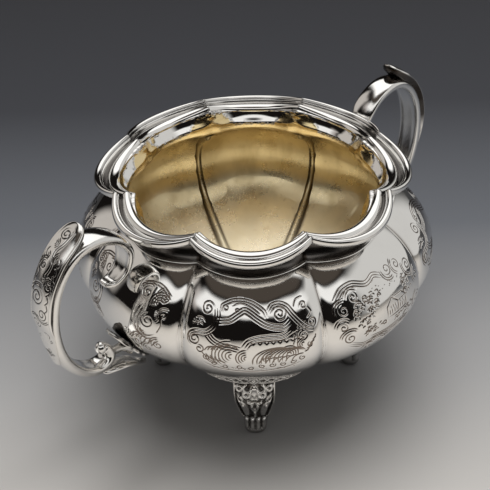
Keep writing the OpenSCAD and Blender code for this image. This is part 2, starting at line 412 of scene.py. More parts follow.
def scroll_lobe():
    """Rococo scrolls round a blank ground, with shells and long leaf sprays below."""
    ogee = curve((-12.2, 13.6), (-10.2, 14), (-7.4, 14.8), (-4.6, 16.9), (-2.6, 18), (-0.6, 17.2),
        (2, 15.2), (5, 13.2), (8.6, 11.9), (11.6, 11.8), (14, 13.4))
    crest = curve((-10.6, 16.6), (-11.6, 19.2), (-8.4, 21.4), (-4.4, 22.2), (-0.2, 21.5), (3.4, 19.5),
        (5.2, 17.6), (5.8, 15.6))
    inner = curve((-7, 19.6), (-4.2, 20.6), (-1.4, 19.9), (1.2, 18.4), (3.2, 16.6))
    neck = curve((-13.9, 17.6), (-13.6, 15), (-14.2, 12.2), (-16.6, 10), (-20, 9.6), (-22.6, 8),
        (-23.2, 5.2), (-21.6, 2.9))
    band = curve((5.4, 17.6), (7.2, 20), (10.6, 20.5), (13.8, 18.9), (16, 15.6), (18.2, 12.8),
        (20.6, 10.4), (22.4, 9.6))
    left_swag = curve((-15, 9.8), (-13, 7.6), (-10.2, 6.3), (-7, 5.9), (-3.8, 5.2))
    right_swag = curve((-3.6, 5.4), (-1.6, 7.9), (2, 9.2), (6.8, 9.5), (10.4, 9.4), (13.4, 10.8))
    out = ribbon(ogee, 1, -1) + ribbon(crest, -1) + [inner] + ribbon(neck, 1, 1.9)
    out += ribbon(band, -1, -1.9) + ribbon(left_swag, -1, -2) + ribbon(right_swag, -1.1, -2.1)
    out += curls(((-16.4, 17.4, 2.7, 10, 620), (-20.4, 6.2, 2.8, 60, 700), (-18.4, 2.5, 1.8, 120, -520),
        (22, 11.2, 1.7, 250, 560), (19.6, 17.4, 1.6, 200, -470), (-9.6, 18.4, 1.5, 250, -430),
        (18.2, 7.4, 1.9, 120, 560), (-5.4, 17.8, 0.9, 0, 300)))
    out += [spiral(10.4, 16.2, 3, 0.4, 160, -700),
        curve((14.4, 9.4), (14.8, 7.2), (14.2, 4.6)), curve((15.6, 9.8), (16, 7.2), (15.6, 4.8)),
        curve((-16.6, 12.6), (-18, 14), (-20.4, 13.8)),
        curve((-17.4, 11.6), (-19.4, 12.2), (-21.6, 11)),
        curve((20.4, 13), (22.2, 14.6), (21.2, 16.4)), curve((15.8, 17.8), (17, 20), (19.8, 20.6))]
    out += shell_band()
    out += dots(-21.6, -17.8, 11.2, 14, 16, 6) + dots(15, 20, 9, 12, 18, 7)
    return out


def shell_band():
    """The dense lower band: nested shells on the left, long bent leaves on the right, curls beneath."""
    out = nest(-6.9, 1.2, 1, 1.05, 6, 75, 262, -0.15) + nest(-1.9, 0.6, 0.8, 0.95, 4, 80, 250)
    for k in range(9):
        x, y = 1.45 * k, 0.12 * k
        out.append(curve((0.2 + x, -2.6 + y), (0.4 + x, 0.4 + y), (2.4 + x, 3), (6.2 + 0.9 * x, 4.4 - y),
            (11.4 + 0.66 * x, 4.6 - 3.4 * y)))
    out += nest(6.4, 0.6, 0.9, 0.9, 3, 40, 230) + nest(12.6, 1.4, 0.8, 0.85, 4, -30, 150)
    out += nest(18, 4.4, 0.7, 0.75, 3, 60, 250) + nest(-13.6, -0.4, 0.8, 0.8, 3, 150, 330)
    for k in range(6):
        x = 2.3 * k
        out.append(curve((2.2 + x, -2.2), (3.0 + x, -0.4), (4.8 + x, 0.6), (6.6 + x, 0.4)))
        out.append(curve((-16.6 + 1.2 * k, 2.2 + 0.3 * k), (-15.2 + k, 4.0 + 0.2 * k),
            (-12.6 + k, 4.6 + 0.2 * k)))
    out += curls(((3.4, -3.3, 1.2, 90, 480), (6.9, -3, 1.3, 60, -480), (10.8, -3.1, 1.2, 90, 480),
        (14.2, -2.7, 1.2, 60, -460), (17.6, -1.6, 1.3, 90, 460), (-0.6, -4.4, 1.1, 90, -460),
        (-4.2, -4, 1.2, 60, 460), (-9.6, -4.2, 1.2, 120, -460), (-15.8, -0.7, 1.4, 90, 520),
        (-13.4, -3, 1.1, 60, -430), (20.6, 3.4, 1.2, 90, 430)), 0.25)
    for k in range(5):
        out.append(curve((-17.6 + 1.5 * k, 1.5 - 0.4 * k), (-16.6 + 1.5 * k, 0.3 - 0.4 * k),
            (-15.0 + 1.5 * k, -0.2 - 0.5 * k)))
        out.append(curve((18.2 + 0.8 * k, 1.0 + 1.0 * k), (19.6 + 0.7 * k, 1.5 + 1.0 * k),
            (20.4 + 0.6 * k, 2.8 + 1.0 * k)))
    scallops = [arc(-10.6 + 2.3 * k, 4.4 + 0.3 * math.sin(2.0 * k), 1.15, 10, 170) for k in range(3)]
    scallops += [arc(-0.6 + 2.3 * k, 5.9, 1.15, 10, 170) for k in range(8)]
    low = curve((-17, -3.4), (-12, -5.4), (-6, -6.2), (0, -6.5), (6, -6), (12, -5), (17.4, -3.4))
    return out + scallops + [low] + dots(-14, 15, -5.6, -4.2, 30, 8)


def cartouche_lobe():
    """A landscape with trees and a house, inside scroll bands and shells."""
    top = curve((-22.4, 15.8), (-19, 19.4), (-13, 20.9), (-7, 19.2), (-2, 20.6), (2.4, 18.4))
    low = curve((-19, -2.6), (-13, -5.4), (-6, -4.6), (0, -6.6), (8, -5), (15, -6.2), (20.6, -1.6))
    out = ribbon(top, -1, -1.9) + ribbon(low, 0.9, 1.8)
    out += shelled_curls(((5.4, 18.6, 2.4, 180, 560), (11.4, 17.6, 2, 130, -520),
        (-19.4, 11.8, 2.4, 100, 540), (-14.6, 15.4, 1.9, 60, -480),
        (17.2, 14, 2.4, 160, -560), (20, 8.4, 1.7, 100, 460),
        (-18.2, 0.6, 2.5, 60, 600), (18.6, -0.6, 2.5, 120, -600),
        (-1, -8.9, 1.7, 90, 430), (9.6, -8.4, 1.6, 90, -430),
        (-9.4, -8, 1.6, 60, 430), (-20.6, 5.8, 1.6, 60, -430)), 0.9, 0.85, 20, 120)
    # Crowns of trees and bushes: small arcs strewn over ovals
    rng = np.random.default_rng(21)
    for cx, cy, rx, ry, count in ((-11.4, 8.6, 4.6, 5.4, 46), (-5.6, 11.6, 3.4, 3.2, 22),
            (11.8, 8.8, 3, 4.4, 26), (-8.2, 0.8, 5.4, 2.2, 24),
            (8.6, -0.6, 6.4, 1.8, 26)):
        for _ in range(count):
            way, reach = rng.uniform(0, 360), math.sqrt(rng.uniform(0, 1))
            x, y = cx + rx * reach * cos(way), cy + ry * reach * sin(way)
            out.append(arc(x, y, rng.uniform(0.5, 0.95), rng.uniform(-20, 60), rng.uniform(130, 210)))
    house = [(-1.6, 2.2), (-1.6, 6.6), (1.4, 9), (4.4, 6.6), (4.4, 2.2), (-1.6, 2.2)]
    roof = [(1.4, 9), (7.4, 8.6), (9.6, 6.4), (4.4, 6.4)]
    out += [np.array(house), np.array(roof), np.array([(9.2, 6.4), (9.2, 2.4), (4.4, 2.2)])]
    out += [np.array([(x, 3.2), (x, 4.6)]) for x in (-0.4, 0.8, 2.2, 3.4, 5.6, 6.8, 8)]
    out += [np.array([(x, 5.4), (x + 0.02, 6.2)]) for x in (0.4, 1.6, 2.8, 5.8, 7.2)]
    out += [curve((-10, -1.6 - 0.9 * k), (-3, -2.2 - 0.7 * k), (4, -2.0 - 0.9 * k), (11, -2.8 - 0.5 * k))
        for k in range(3)]
    return out + dots(-6, 12, 13, 16.2, 24, 11)


def sprig_lobe():
    """Bold scroll sprigs either side of a handle's plate."""
    side = [spiral(15, 7.6, 3, 0.4, 100, 560),
        curve((11, 12.4), (9.4, 8), (10.4, 3.2), (14.2, 0.4), (18.6, 1.6)),
        curve((12.2, 11.6), (10.8, 8), (11.6, 4.4), (14.6, 1.8), (18.2, 3)),
        curve((19.6, 11.8), (20.4, 7.4), (19, 3.8))]
    side += nest(13.4, 3.8, 0.7, 0.75, 4, 150, 330) + nest(17.6, 9.6, 0.7, 0.75, 3, -60, 110)
    side += nest(18.4, 14.4, 1.4, 0.9, 4, 20, 210)
    side += shelled_curls(((19.6, 16.8, 2.2, 120, -600), (11.8, 17.2, 2.3, 60, 560),
        (19.4, -1.6, 1.9, 90, 520), (10.6, -3, 1.9, 60, -480),
        (15, -4.8, 1.4, 90, 430), (21, 10.6, 1.3, 60, -430)), 0.8, 0.8, 10, 110)
    for k in range(6):
        side.append(curve((9.0 + 1.5 * k, -0.6 - 0.5 * k), (9.6 + 1.7 * k, 1.0 - 0.4 * k),
            (11.8 + 1.6 * k, 1.6 - 0.2 * k)))
    side += ribbon(curve((8.4, 20.4), (13, 21.6), (18, 20.6), (22.2, 17.6)), -1)
    side += dots(8.6, 20, -9.6, -6.4, 26, 15)
    return side + mirrored(side)


DESIGNS = (scroll_lobe(), cartouche_lobe(), sprig_lobe())
# Lobe k stands at 45 k degrees: 0 and 4 carry the handles, 5 faces the front
LOBE_DESIGN = (2, 1, 0, 1, 2, 0, 1, 0)


# ---- materials ----

class Graph:
    """Short names for the few node kinds used here."""

    def __init__(self, tree):
        self.tree = tree
        self.where = self.add("ShaderNodeTexCoord").outputs["Object"]

    def add(self, kind, **settings):
        node = self.tree.nodes.new(kind)
        for key, value in settings.items():
            setattr(node, key, value)
        return node

    def put(self, value, socket):
        if isinstance(value, bpy.types.NodeSocket):
            self.tree.links.new(value, socket)
        else:
            socket.default_value = value

    def math(self, op, a, b=0.0, clamp=False):
        node = self.add("ShaderNodeMath", operation=op, use_clamp=clamp)
        self.put(a, node.inputs[0])
        self.put(b, node.inputs[1])
        return node.outputs[0]

    def times(self, a, b):
        return self.math("MULTIPLY", a, b)

    def plus(self, a, b, clamp=False):
        return self.math("ADD", a, b, clamp)

    def mix(self, fac, a, b):
        node = self.add("ShaderNodeMix", data_type="RGBA")
        self.put(fac, node.inputs["Factor"])
        self.put(a, node.inputs[6])
        self.put(b, node.inputs[7])
        return node.outputs[2]

    def noise(self, scale, detail=3.0, stretch=None):
        node = self.add("ShaderNodeTexNoise")
        node.inputs["Scale"].default_value = scale
        node.inputs["Detail"].default_value = detail
        where = self.where
        if stretch:
            mapping = self.add("ShaderNodeMapping")
            mapping.inputs["Scale"].default_value = stretch
            self.put(where, mapping.inputs["Vector"])
            where = mapping.outputs[0]
        self.put(where, node.inputs["Vector"])
        return node.outputs["Fac"]

    def split(self, value, turn=0.0):
        """X, Y and Z of a vector, first turned about Z by turn."""
        if turn:
            mapping = self.add("ShaderNodeMapping")
            mapping.inputs["Rotation"].default_value = (0, 0, turn)
            self.put(value, mapping.inputs["Vector"])
            value = mapping.outputs[0]
        node = self.add("ShaderNodeSeparateXYZ")
        self.put(value, node.inputs[0])
        return node.outputs

    def mark(self, name):
        return self.add("ShaderNodeAttribute", attribute_name=name).outputs["Fac"]

    def span(self, value, low, high, out_low=0.0, out_high=1.0):
        node = self.add("ShaderNodeMapRange", interpolation_type="SMOOTHSTEP")
        self.put(value, node.inputs["Value"])
        for key, number in (("From Min", low), ("From Max", high), ("To Min", out_low),
                ("To Max", out_high)):
            node.inputs[key].default_value = number
        return node.outputs["Result"]

    def bump(self, shader, height, strength, distance):
        node = self.add("ShaderNodeBump")
        node.inputs["Strength"].default_value = strength
        node.inputs["Distance"].default_value = distance
        self.put(height, node.inputs["Height"])
        self.put(node.outputs[0], shader.inputs["Normal"])


def new_material(name):
    material = bpy.data.materials.new(name)
    material.use_nodes = True
    tree = material.node_tree
    return material, tree.nodes["Principled BSDF"], Graph(tree)


SILVER = (0.93, 0.915, 0.89, 1)
# The next two colours darken real tarnish and also the painted shade that the second mark carries
TARNISH_AND_SHADE = (0.17, 0.125, 0.095, 1)
BLACKENED_AND_SHADE = (0.045, 0.036, 0.030, 1)
GOLD = (0.92, 0.74, 0.42, 1)


def metal(name, rough=0.03, rough_range=0.04, cast=0.0, tarnished=TARNISH_AND_SHADE):
    """Polished silver with tarnish in its grooves, darkened by the second mark, which carries tarnish and
    painted shade, and gilded where the gilt mark says so.
    """
    material, shader, g = new_material(name)
    groove, tarnish, gilt = g.mark("groove"), g.mark("tarnish"), g.mark("gilt")
    cloud = g.span(g.noise(95, 4), 0.42, 0.78)
    fine = g.noise(900, 5)
    smear = g.span(g.noise(60, 3, (1, 1, 5)), 0.4, 0.75)
    # Darkening from the second mark is part tarnish, part painted shade
    dirt_and_shade = g.plus(g.span(groove, 0.15, 0.75, 0.0, 0.92), g.times(tarnish, 0.95))
    dirt_and_shade = g.plus(dirt_and_shade, g.times(cloud, 0.035 + 0.05 * cast), clamp=True)
    gilded = g.mix(smear, GOLD, (0.80, 0.60, 0.30, 1))
    base = g.mix(gilt, SILVER, gilded)
    g.put(g.mix(dirt_and_shade, base, tarnished), shader.inputs["Base Color"])
    shader.inputs["Metallic"].default_value = 1.0
    r = g.plus(rough, g.times(smear, rough_range))
    r = g.plus(r, g.times(dirt_and_shade, 0.2))
    r = g.plus(r, g.times(gilt, 0.12))
    g.put(g.plus(r, g.times(fine, 0.02)), shader.inputs["Roughness"])
    scratches = g.plus(g.noise(1600, 2, (1, 1, 7)), g.noise(260, 3))
    g.bump(shader, scratches, 0.05 + 0.2 * cast, 0.06 * MM)
    return material


def gold_wash():
    """Worn gilding: brown-gold on the wall, paler and more olive on the floor of the bowl."""
    material, shader, g = new_material("gilt_wash")
    groove, tarnish = g.mark("groove"), g.mark("tarnish")
    blot = g.span(g.noise(70, 5), 0.38, 0.72)
    streak = g.span(g.noise(110, 4, (1, 1, 0.35)), 0.4, 0.75)
    height = g.split(g.where)[2]
    low = g.span(height, 0.050, 0.034)
    wall = g.mix(streak, (0.80, 0.67, 0.42, 1), (0.60, 0.48, 0.27, 1))
    floor = g.mix(blot, (0.91, 0.86, 0.71, 1), (0.80, 0.73, 0.54, 1))
    base = g.mix(low, wall, floor)
    base = g.mix(g.times(g.span(g.noise(340, 4), 0.60, 0.76), 0.35), base, (0.42, 0.30, 0.14, 1))
    # Here the second mark holds only painted shade, beside the lining's ribs
    dirt_and_shade = g.times(g.plus(groove, tarnish, clamp=True), 0.93)
    g.put(g.mix(dirt_and_shade, base, (0.055, 0.030, 0.012, 1)), shader.inputs["Base Color"])
    g.put(g.span(height, 0.032, 0.054, 0.55, 1.0), shader.inputs["Metallic"])
    r = g.plus(0.22, g.times(blot, 0.12))
    g.put(g.plus(r, g.times(g.noise(700, 4), 0.08)), shader.inputs["Roughness"])
    g.bump(shader, g.plus(g.noise(420, 4), g.noise(90, 3)), 0.35, 0.12 * MM)
    return material


SILVER_BODY = metal("silver_raised")
SILVER_RIM = metal("silver_reeded", rough=0.03, rough_range=0.03, tarnished=BLACKENED_AND_SHADE)
SILVER_CAST = metal("silver_cast", rough=0.05, rough_range=0.06, cast=1.0, tarnished=BLACKENED_AND_SHADE)
SILVER_NECK = metal("silver_part_gilt", rough=0.04, tarnished=BLACKENED_AND_SHADE)
GILT_WASH = gold_wash()


# ---- the bowl ----

def ripple(x, y, seed):
    """Gentle hand-raised unevenness, in units of about one."""
    rng = np.random.default_rng(seed)
    total = np.zeros(np.broadcast(x, y).shape)
    for _ in range(7):
        way, length = rng.uniform(0, 360), rng.uniform(9, 26)
        total += np.sin(2 * math.pi * (x * cos(way) + y * sin(way)) / length + rng.uniform(0, 6.28))
    return total / 4


CHART_R = 69.0  # one degree is CHART_R * pi / 180 mm wide on the engraving chart
STROKE, BOLD_STROKE = 0.27, 0.36  # half widths of the engraved strokes
BOLD_BELOW = 5  # the lower band, up to here on the chart, is cut with the bolder strokes
CUT_DEPTH = 0.17
CHART_LOW, CHART_HIGH = -27, 22.5  # the engraving lies between these, so the mesh is densest there


def bowl_lobe(k):
    """One lobe of the raised bowl as a closed wedge of the shell, engraved outside."""
    cols = 255
    dense = 310
    arcs = join([linspace(arc_of(UNDER_T), CHART_LOW, 36)[:-1],
        linspace(CHART_LOW, CHART_HIGH, dense)[:-1],
        linspace(CHART_HIGH, arc_of(SHOULDER_TOP), 26)])
    delta = linspace(-HALF, HALF, cols)[None, :]
    t = t_of(arcs)[:, None]
    outer = body_point(delta, t, share=0.72, roll=2.1)
    x = np.broadcast_to(np.radians(delta) * CHART_R, outer.shape[:2])
    y = np.broadcast_to(arcs[:, None], outer.shape[:2])
    design = DESIGNS[LOBE_DESIGN[k]]
    deep = np.where(y > BOLD_BELOW, engrave(x, y, design, STROKE), engrave(x, y, design, BOLD_STROKE))
    edge = HALF - abs(delta)
    calm = climb(edge, 0, 3) * climb(SHOULDER_TOP - t, 0, 6) * climb(t, -88, 10)
    shift = -CUT_DEPTH * deep + 0.04 * ripple(x, y, 20 + k) * calm
    outer = outer + grid_normals(outer) * shift[..., None]
    inner = body_point(delta, t_of(linspace(arcs[-1], arcs[0], 22))[:, None], -SHELL_T)
    inner[0, :, 2] = outer[-1, :, 2]
    # Tarnish with painted shade: darker along each furrow and in a band at the shoulder's top, under the neck
    grime_and_shade = 0.55 * bell(edge, 0.55) + 0.25 * bell(SHOULDER_TOP - t, 0.8)
    flat = np.zeros(inner.shape[:2])
    return slab_part(join([outer, inner]), groove=join([deep, flat]),
        tarnish=join([np.broadcast_to(grime_and_shade, deep.shape), flat])).turned(2 * HALF * k)


for lobe in range(LOBES):
    piece(f"bowl_body_lobe_{lobe + 1}", [bowl_lobe(lobe)], SILVER_BODY, ["bowl_body"])


LINING_GAP, LINING_BACK = 0.5, 0.45  # air outside the gilt's face, and the back's depth in the shell
RIB_H, RIB_W = 1.9, 1.5  # height and half width of the rib under each furrow


def lining():
    """The gilded inside. Each furrow shows as a narrow rib, and the wall between is nearly plain."""
    a = turns(640)
    ends = arc_of(UNDER_T), arc_of(SHOULDER_TOP)
    t = t_of(linspace(*ends, 136))[:, None]
    up = climb(t, -30, SHOULDER_TOP + 30)
    edge = HALF - abs(lobe_angle(a))[None, :]
    share = 0.45 + 0.40 * up ** 2
    grid = body_point(a[None, :], t, -SHELL_T - GILT_T - LINING_GAP, share, 1.2)
    reach = np.hypot(grid[..., 0], grid[..., 1])
    off = edge * np.pi / 180 * reach
    wall = climb(t, -75, 25)
    rib = RIB_H * bell(off, RIB_W, 4) * wall * climb(SHOULDER_TOP - t, 0, 4)
    x, y = np.broadcast_arrays(np.radians(a)[None, :] * 50, arc_of(t))
    dent = 0.10 * ripple(x, y, 3) * climb(t, -86, 12) * climb(edge, 0, 3)
    grid = grid - grid_normals(grid) * (rib + dent)[..., None]
    back = body_point(a[None, :], t_of(linspace(*ends[::-1], 14))[:, None], -SHELL_T - LINING_BACK)
    # Painted shade: dark lines along both sides of each rib
    grime_and_shade = (bell(off - 1.7, 0.75) + 0.35 * bell(off - 0.7, 0.5)) * wall
    flat = np.zeros(back.shape[:2])
    return ring_part(join([grid, back]), tarnish=join([grime_and_shade, flat]))


piece("gilt_lining_worn", [lining()], GILT_WASH, ["gilt_lining"])


# The neck's section is drawn DRAWN_H high and squeezed to the CAD's height. Inside, what lies within
# LIP_H of its top keeps its size, and the rest is squeezed more
DRAWN_H = 9.7
LIP_H = 3.8


def neck():
    """The waisted neck: a deep hollow outside, and inside it a silver flare above the ragged gilding."""
    a = turns(720)
    outside = smooth_line([(54.1, -0.35), (54.1, 0.0), (53.85, 0.28), (53.4, 0.5), (52.0, 1.7), (50.8, 3.6),
        (50.1, 5.6), (50.2, 7.6), (51.4, 9.2), (54.6, 10.3)], 4)
    inside = smooth_line([(51.6, 11.6), (50.5, 11.5), (50.2, 10.8), (49.75, 9.9), (49.05, 8.9),
        (48.35, 8.15), (47.75, 7.5), (47.5, 6.9), (47.45, 5.9), (47.8, 3.6), (48.9, 1.5),
        (50.4, 0.3), (52.6, -0.5)], 5)
    section = np.vstack([outside, inside])
    r, h = section[:, :1], section[:, 1:]
    is_in = (np.arange(len(section)) >= len(outside))[:, None]
    below = DRAWN_H - LIP_H - h
    drop = np.where(below <= 1e-9, h - DRAWN_H, -LIP_H - below * (COLLAR_TOP - NECK_Z - LIP_H) / 5.6)
    rise = np.where(is_in, drop, (h / DRAWN_H - 1) * (COLLAR_TOP - NECK_Z))
    lift = (NECK_WAVE + (1 - NECK_WAVE) * climb(h, 0, DRAWN_H)) * wave(a)[None, :]
    reach = foil(a[None, :], r, r * (1 - NECK_FURROW), 0.5)
    pier = r * (1 - NECK_FURROW) + 1.5
    blunt = 0.5 * (reach + pier + np.sqrt((reach - pier) ** 2 + 0.10))
    reach = np.where(is_in & (h < 9.6), blunt + (reach - blunt) * climb(h, 7.0, 2.6), reach)
    grid = stack([reach * cos(a), reach * sin(a), COLLAR_TOP + rise + lift], -1)
    d = abs(lobe_angle(a))[None, :]
    rng = np.random.default_rng(8)
    rag = sum(np.sin(np.radians(a) * f + rng.uniform(0, 6.28)) * w
        for f, w in ((57, 0.22), (131, 0.24), (223, 0.20), (311, 0.14)))[None, :]
    top = 6.3 + 4.4 * climb(d, 9.5, 6.5) + rag
    gilt = np.where(is_in, np.clip((top - h) / 0.4 + 0.5, 0, 1), 0)
    bead = np.where(is_in, bell(top - h, 0.3), 0)
    # Inside, a dark line follows the gilding's ragged edge. Outside, painted shade with some tarnish: the
    # hollow under the rim is made nearly black, more at the notches
    grime_and_shade = np.where(is_in, 0.5 * bell(top - h + 0.5, 0.35), 0.0) \
        + (0.5 * bell(HALF - d, 0.6) + 0.95 * climb(h, 0.42, 0.3)) * ~is_in
    inward = stack([-cos(a), -sin(a), 0 * a], -1)
    return ring_part(grid + 0.12 * inward * bead[..., None], tarnish=grime_and_shade, gilt=gilt)


piece("neck_collar_moulded", [neck()], SILVER_NECK, ["neck_collar"])


def bump_arc(cx, cy, r, a0, a1, n):
    """Arc of the rim's section, from the outside inwards: [mm from the outer edge, height]."""
    a = linspace(a0, a1, n)
    return stack([cx - r * cos(a), cy + r * sin(a)], -1)


def rim_section():
    a = linspace(28, 180, 26)
    band = stack([7.5 - 2.4 * cos(a), -2.95 + 2.0 * sin(a)], -1)
    return np.vstack([
        bump_arc(1.50, -1.50, 1.50, -72, 128, 26),
        bump_arc(3.02, -1.45, 0.36, 25, 150, 8),
        [(3.55, -2.2), (3.8, -3.1), (4.3, -3.4), (4.9, -3.1)],
        band,
        [(9.6, -3.8), (8.6, -4.2), (3.9, -4.2)],
        bump_arc(2.95, -3.35, 0.38, 300, 170, 7)[::-1],
    ])


def rim_lobe(k):
    section = rim_section()
    delta = linspace(-HALF, HALF, 97)[None, :]
    share = section[:, :1] / (RIM_R - RIM_IN_R)
    reach = foil(delta, RIM_R + (RIM_IN_R - RIM_R) * share,
        RIM_NOTCH_R + (RIM_IN_NOTCH_R - RIM_NOTCH_R) * share, 0.02)
    grid = stack([reach * cos(delta), reach * sin(delta),
        RIM_Z + section[:, 1:] + wave(delta)], -1)
    edge = HALF - abs(delta)
    # Darkened at the notches, in the two grooves of the section, where tarnish and painted shade mix, and
    # nearly black on the underside as painted shade
    grime_and_shade = np.broadcast_to(0.5 * bell(edge, 0.35), grid.shape[:2]).copy()
    for row, (x, z) in enumerate(section):
        grime_and_shade[row] += bell(x - 2.66, 0.16) + bell(x - 4.3, 0.80, 4)
        grime_and_shade[row] += 0.95 * (z < -3.6 and x > 3.2)
    return slab_part(grid, tarnish=np.clip(grime_and_shade, 0, 1)).turned(2 * HALF * k)


for lobe in range(LOBES):
    piece(f"rim_reeded_{lobe + 1}", [rim_lobe(lobe)], SILVER_RIM, [f"rim_segment_{lobe + 1}"])


# ---- handles, built on the +X side ----

SCROLL_PATH = [(77.2, 55.4), (75.4, 54), (74.6, 51.2), (77, 49), (81.6, 48.8), (86.8, 51.6),
    (91.2, 56.6), (94.6, 63.4), (96.4, 71.6), (96.4, 80.8), (94, 90.6), (89, 98.4),
    (82.2, 102.6), (74.2, 102.6), (66.6, 98.8), (62.2, 92.2), (63.8, 84.8), (69, 81.4),
    (73.2, 82.2)]
LEAF_PATH = [(97.6, 60.4), (99, 71.4), (99.2, 81.2), (96.8, 92), (91.4, 101), (85.4, 106.4),
    (79, 110.6)]
LOWER_LEAF_PATH = [(78.4, 44.8), (74, 45.2), (69.4, 44.6), (65, 42.4), (61, 39.4), (58.2, 38.2)]
SCROLL_W, SCROLL_T = 10.4, 4.8


def in_plane(path, steps):
    """Line and outward directions in the handles' plane."""
    p = smooth_line(path, steps)
    d = unit(np.gradient(p, axis=0))
    zero = np.zeros(len(p))
    return stack([p[:, 0], zero, p[:, 1]], -1), stack([d[:, 1], zero, -d[:, 0]], -1)


def handle_scroll():
    line, out = in_plane(SCROLL_PATH, 16)
    n = len(line)
    u = linspace(0, 1, n)
    width = SCROLL_W / 2 * (0.46 + 0.54 * sin(90 * np.minimum(1, u * 1.9)))
    width *= np.interp(u, [0, 0.80, 0.92, 1], [1, 1, 0.72, 0.5])
    thick = SCROLL_T / 2 * np.interp(u, [0, 0.72, 0.86, 1], [0.92, 0.92, 0.62, 0.5])
    a = turns(56)
    c, s = cos(a), sin(a)
    flat = climb(u, 0.12, 0.2)[:, None]
    outer = abs(s) ** 0.9
    inner = -(abs(s) ** 0.45) * (1 - 0.22 * bell(c, 0.62, 6))
    v = np.where(s >= 0, outer, s * (1 - flat) + inner * flat)
    across = np.broadcast_to(np.sign(c) * abs(c) ** 0.92, v.shape)
    ends = round_ends(n, 8)
    grid = sweep(line, out, width * ends, thick * ends, stack([across, v], -1))
    grime_and_shade = np.where(s < 0, 0.25 * flat * bell(abs(c) - 0.66, 0.1), 0)
    return tube_part(grid, tarnish=grime_and_shade)


def leaf_strokes(length):
    """Oval spiral near the tip, a flower, long veins, then scrolls and crescents down the leaf."""
    y = length
    vein = curve((1.6, y * 0.94), (0.9, y * 0.86), (-0.6, y * 0.79), (0.6, y * 0.71), (-0.4, y * 0.65))
    out = [spiral(-0.6, y * 0.91, 2.4, 0.4, 80, 640)] + ribbon(vein, 0.9)
    rows = ((-1.4, 0.52, 3.2, 60, -720), (1.8, 0.42, 2.4, 200, 640), (-1.8, 0.34, 2.3, 40, -620),
        (1.6, 0.26, 1.9, 200, 560), (-1.0, 0.19, 1.6, 40, -500), (0.8, 0.13, 1.2, 200, 460),
        (-0.4, 0.08, 0.9, 40, -400), (-2.6, 0.70, 1.6, 60, 560), (2.9, 0.60, 1.4, 20, -480))
    out += shelled_curls([(x, y * share, *rest) for x, share, *rest in rows], 0.7, 0.65, 0, 130)
    out += flower(1.0, y * 0.63, 0.6, 1.9, 8) + nest(-3.0, y * 0.84, 0.9, 0.7, 3, -60, 80)
    out += nest(2.8, y * 0.76, 0.9, 0.7, 3, 110, 250) + nest(-3.2, y * 0.76, 0.8, 0.7, 2, -60, 80)
    for k in range(6):
        low = y * (0.44 + 0.055 * k)
        out.append(curve((3.0, low), (4.1, low + 1.4), (3.6, low + 3.4)))
        out.append(curve((-3.2, low + 2), (-4.3, low + 3.6), (-3.6, low + 5.4)))
    return out + dots(-3, 3, y * 0.02, y * 0.07, 6, 31)


LEAF_BACK = 0.36  # from this share of its length up the leaf stands clear, on a thick side wall
LEAF_RISE = 0.12  # the share over which it rises out of the scroll
LEAF_TIP = 0.80  # from here on it narrows to its tip


def handle_leaf():
    line, out = in_plane(LEAF_PATH, 44)
    n = len(line)
    u = linspace(0, 1, n)
    arcs = join([[0], np.cumsum(np.linalg.norm(np.diff(line, axis=0), axis=1))])
    tip = np.sqrt(np.clip(1 - climb(u, LEAF_TIP, 0.2005) ** 2, 1e-4, 1))
    width = SCROLL_W / 2 * np.where(u < LEAF_TIP, sin(90 * np.minimum(1, 0.30 + 2.6 * u)) * (1 + 0.20 * u),
        1.16 * tip)
    top = linspace(-1, 1, 64)
    even = linspace(-1, 1, 25)[1:-1]
    shape = -np.sign(even) * (1 - (1 - abs(even)) ** 1.6)
    proud = climb(u, LEAF_BACK - LEAF_RISE, LEAF_RISE)[:, None]
    rise = (0.75 + 0.35 * proud) * (1 - abs(top) ** 2.6) \
        + 0.22 * proud * bell(abs(top) - 0.93, 0.05)
    x, y = top[None, :] * width[:, None], np.broadcast_to(arcs[:, None], (n, len(top)))
    deep = engrave(x, y, leaf_strokes(arcs[-1]), STROKE) * (abs(top) < 0.88)
    side = np.interp(u, [0, LEAF_BACK - LEAF_RISE, LEAF_BACK, 0.85, 1], [0.6, 0.8, 2.6, 3.0, 1.6])[:, None]
    under = -side * (1 - abs(shape) ** 8)
    v = join([rise - CUT_DEPTH * deep, under], 1) - 0.2
    across = np.broadcast_to(join([top, shape * (1 - 0.04 * (1 - abs(shape) ** 3))]), v.shape)
    sink = -0.95 * (1 - proud[:, 0]) - 0.5 * np.clip(1 - u / 0.12, 0, 1)
    grid = sweep(line + out * sink[:, None], out, width, 1.0,
        stack([across, v * np.minimum(1, tip + 0.25)[:, None]], -1))
    # Painted shade: the side wall under the leaf's proud part is dark, for the shadow gap between leaf and
    # scroll
    wall = np.broadcast_to(proud, (n, len(shape)))
    return tube_part(grid, groove=join([deep, 0 * wall], 1),
        tarnish=join([0 * deep, wall], 1))


def handle_ball():
    centre = np.array([(BALL_LOW[0] + BALL_HIGH[0]) / 2, 0, (BALL_LOW[2] + BALL_HIGH[2]) / 2])
    r = (BALL_HIGH[0] - BALL_LOW[0]) / 2
    return ball(centre, r * 1.02, sides=56)


PLATE_Z, PLATE_HALF = 50.6, 13.5
PLATE_T = -math.degrees(math.asin((BELLY_Z - PLATE_Z) / UNDER_DROP))
_pr, _pz, _nr, _nz = (float(v) for v in body_profile(np.array(PLATE_T)))
PLATE_N = np.array([_nr, 0, _nz])
PLATE_D = np.array([-_nz, 0, _nr])
PLATE_MID = np.array([_pr, 0, _pz]) + PLATE_N * 0.55


